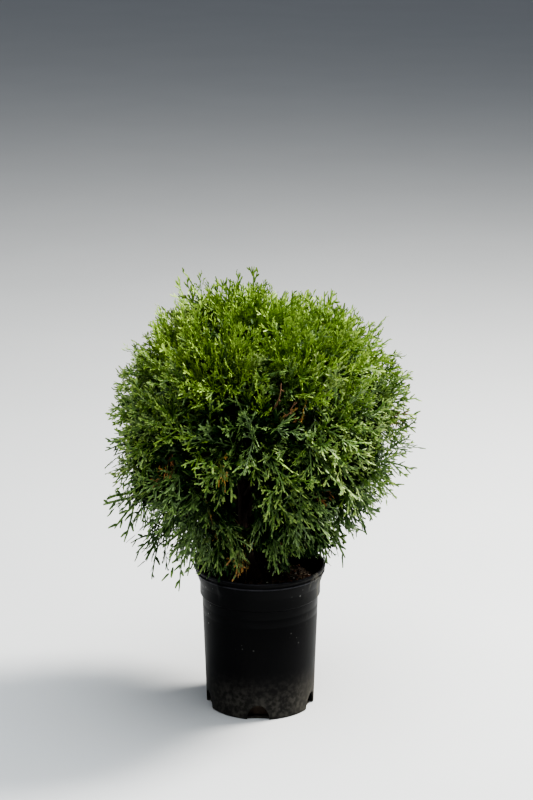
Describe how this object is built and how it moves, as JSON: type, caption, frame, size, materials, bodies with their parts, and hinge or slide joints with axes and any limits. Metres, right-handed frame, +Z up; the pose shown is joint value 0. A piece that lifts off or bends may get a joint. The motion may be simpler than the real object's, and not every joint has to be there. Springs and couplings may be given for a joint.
{
  "type": "globe thuja in a nursery pot",
  "caption": "Round evergreen shrub with flat fern-like sprays on a short leaning trunk, growing in a plain black nursery pot with a rolled lip and drain holes.",
  "frame": {"origin": "centre of the pot's flat underside, where the part stands", "axes": "+Z up along the pot and the crown; the picture looks along +Y, with +X to its right"},
  "size_m": [0.3724, 0.3693, 0.5599],
  "materials": {
    "pot": "black moulded plastic, semi-matt, dusty near its foot",
    "potting_mix": "loose dark bark and peat mix with pale specks, matt",
    "bark": "fibrous reddish-brown bark with shallow furrows, matt",
    "foliage": "flat scale-leaved sprays, bright yellow-green at the top and deeper green below, waxy"
  },
  "bodies": {
    "root": {"bough_lower_1": "bark", "bough_lower_2": "bark", "bough_lower_3": "bark", "bough_lower_4": "bark", "bough_lower_5": "bark", "bough_lower_6": "bark", "bough_lower_7": "bark", "bough_middle_1": "bark", "bough_middle_2": "bark", "bough_middle_3": "bark", "bough_middle_4": "bark", "bough_middle_5": "bark", "bough_middle_6": "bark", "bough_middle_7": "bark", "bough_skirt_1": "bark", "bough_skirt_2": "bark", "bough_skirt_3": "bark", "bough_skirt_4": "bark", "bough_skirt_5": "bark", "bough_skirt_6": "bark", "bough_upper_1": "bark", "bough_upper_2": "bark", "bough_upper_3": "bark", "bough_upper_4": "bark", "bough_upper_5": "bark", "foliage_lower_1": "foliage", "foliage_lower_2": "foliage", "foliage_lower_3": "foliage", "foliage_lower_4": "foliage", "foliage_lower_5": "foliage", "foliage_lower_6": "foliage", "foliage_lower_7": "foliage", "foliage_middle_1": "foliage", "foliage_middle_2": "foliage", "foliage_middle_3": "foliage", "foliage_middle_4": "foliage", "foliage_middle_5": "foliage", "foliage_middle_6": "foliage", "foliage_middle_7": "foliage", "foliage_skirt_1": "foliage", "foliage_skirt_2": "foliage", "foliage_skirt_3": "foliage", "foliage_skirt_4": "foliage", "foliage_skirt_5": "foliage", "foliage_skirt_6": "foliage", "foliage_top": "foliage", "foliage_upper_1": "foliage", "foliage_upper_2": "foliage", "foliage_upper_3": "foliage", "foliage_upper_4": "foliage", "foliage_upper_5": "foliage", "pot": "pot", "potting_mix": "potting_mix", "trunk": "bark"}
  },
  "joints": []
}
